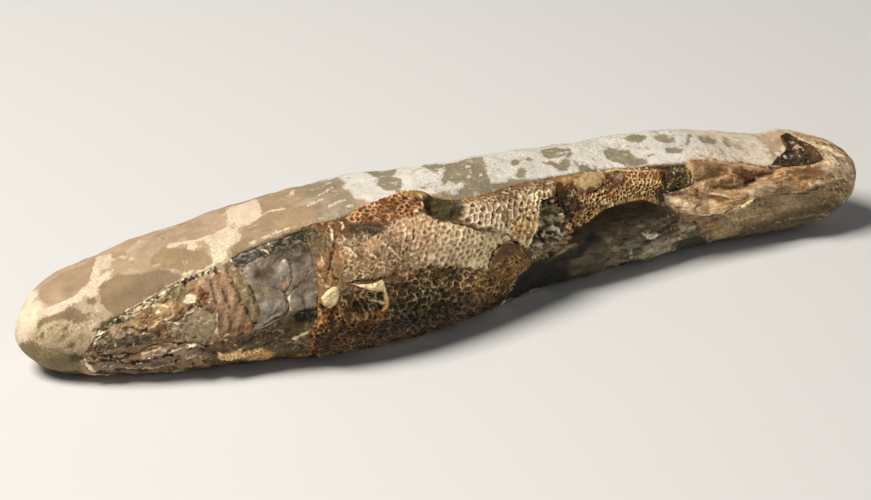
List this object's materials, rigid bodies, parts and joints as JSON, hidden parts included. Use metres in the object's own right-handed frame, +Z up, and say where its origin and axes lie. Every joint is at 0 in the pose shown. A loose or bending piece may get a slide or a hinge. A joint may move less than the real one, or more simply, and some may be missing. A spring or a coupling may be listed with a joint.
{
  "type": "fossil fish nodule",
  "caption": "Fossil fish kept in the round in a long torpedo-shaped limestone nodule, cleaned along one flank and lying on a flat underside.",
  "frame": {"origin": "on the flat underside of the nodule, near the middle of its length", "axes": "+X from the fish's snout to its tail along the nodule, -Y out of the cleaned flank, +Z up from the surface it rests on"},
  "size_m": [0.186, 0.0381, 0.033],
  "materials": {
    "limestone": "matte, fine grained, cream patches on taupe",
    "head_bone": "satin mineralised bone, streaky",
    "gill_bone": "satin grey mineralised bone",
    "scales": "satin brown and gold scale net",
    "calcite": "sparkling small crystals",
    "pale_bone": "matte cream bone",
    "dark_calcite": "dark glassy rough mineral"
  },
  "bodies": {
    "root": {"nodule": "limestone", "skull": "head_bone", "gill_cover": "gill_bone", "lower_jaw": "head_bone", "trunk": "scales", "tail_stock": "scales", "calcite_crust": "calcite", "shoulder_bone": "pale_bone", "fin_spine": "pale_bone", "tail_bone_upper": "pale_bone", "tail_bone_lower": "pale_bone", "tail_lump": "dark_calcite"}
  },
  "joints": []
}
